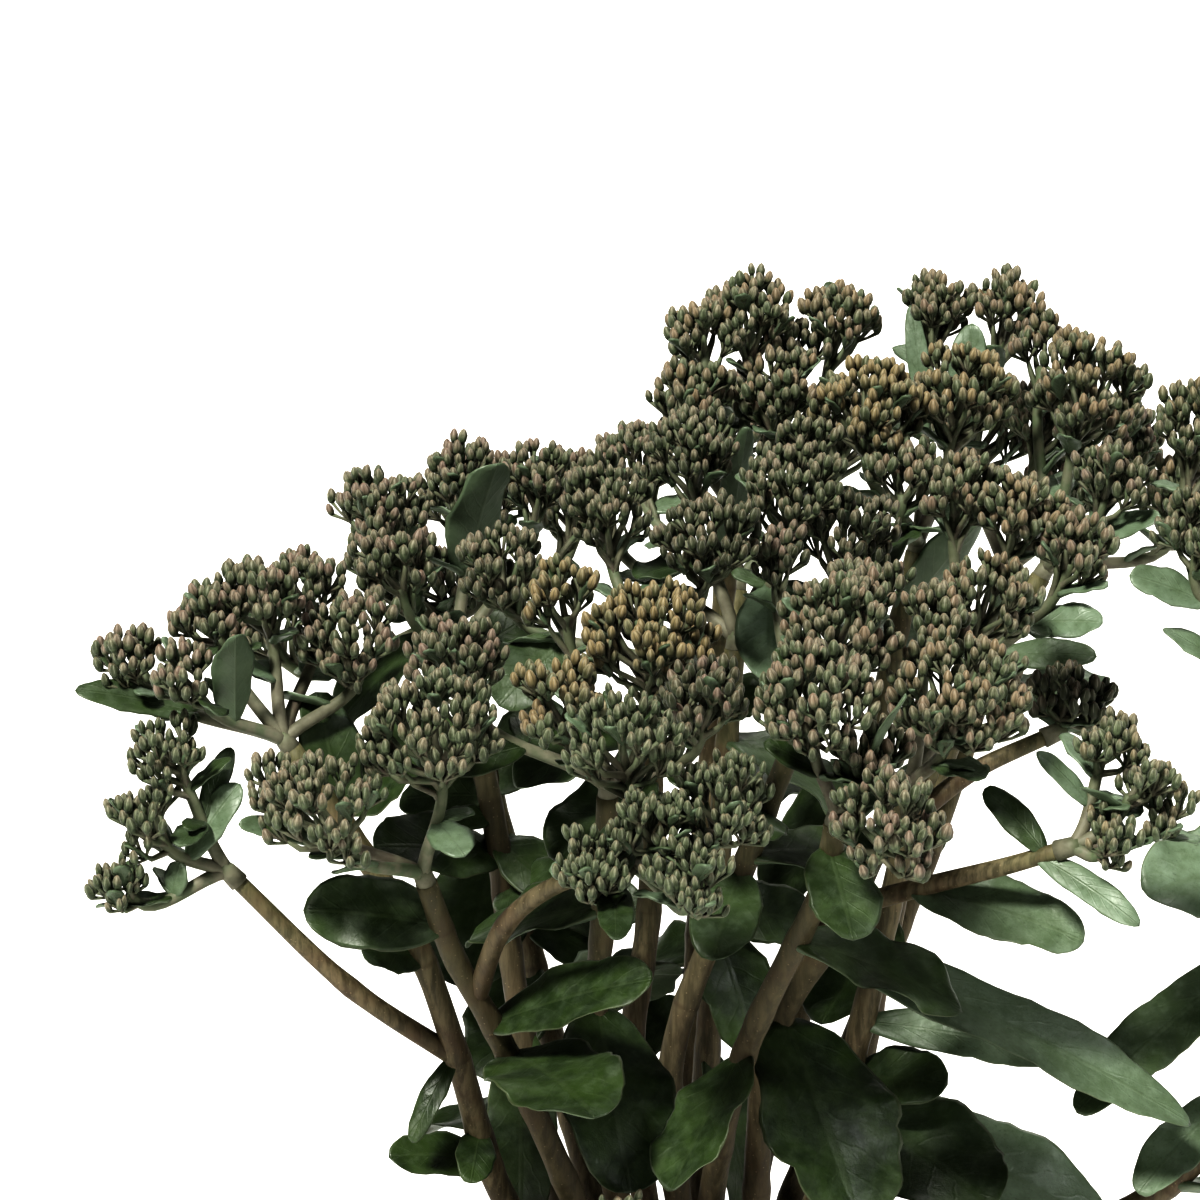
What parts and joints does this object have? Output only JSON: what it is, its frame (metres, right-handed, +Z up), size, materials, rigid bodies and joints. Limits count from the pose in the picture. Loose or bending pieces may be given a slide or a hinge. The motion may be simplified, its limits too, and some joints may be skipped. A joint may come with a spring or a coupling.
{
  "type": "potted stonecrop plant",
  "caption": "Bushy upright stonecrop in bud, with domed flower heads on fleshy leafy stems, standing in a plain round clay pot.",
  "frame": {"origin": "on the pot's axis, at the middle of the face that it stands on", "axes": "+Z up the pot's axis, -Y to the front of the plant, which the picture shows, +X to its right"},
  "size_m": [0.3617, 0.3287, 0.4463],
  "materials": {
    "clay": "matt unglazed terracotta",
    "earth": "crumbly dark potting soil",
    "stem_and_leaf": "living tissue, waxy with a blue-grey bloom",
    "buds": "living tissue, dusty pinkish brown and grey-green"
  },
  "bodies": {
    "root": {"pot": "clay", "soil": "earth", "leafy_stem_01": "stem_and_leaf", "leafy_stem_02": "stem_and_leaf", "leafy_stem_03": "stem_and_leaf", "leafy_stem_04": "stem_and_leaf", "leafy_stem_05": "stem_and_leaf", "leafy_stem_06": "stem_and_leaf", "leafy_stem_07": "stem_and_leaf", "leafy_stem_08": "stem_and_leaf", "leafy_stem_09": "stem_and_leaf", "leafy_stem_10": "stem_and_leaf", "leafy_stem_11": "stem_and_leaf", "leafy_stem_12": "stem_and_leaf", "leafy_stem_13": "stem_and_leaf", "leafy_stem_14": "stem_and_leaf", "leafy_stem_15": "stem_and_leaf", "leafy_stem_16": "stem_and_leaf", "leafy_stem_17": "stem_and_leaf", "flower_head_01": "buds", "flower_head_02": "buds", "flower_head_03": "buds", "flower_head_04": "buds", "flower_head_05": "buds", "flower_head_06": "buds", "flower_head_07": "buds", "flower_head_08": "buds", "flower_head_09": "buds", "flower_head_10": "buds", "flower_head_11": "buds", "flower_head_12": "buds", "flower_head_13": "buds", "flower_head_14": "buds", "flower_head_15": "buds", "flower_head_16": "buds", "flower_head_17": "buds", "flower_head_18": "buds", "flower_head_19": "buds", "flower_head_20": "buds", "flower_head_21": "buds", "flower_head_22": "buds"}
  },
  "joints": []
}
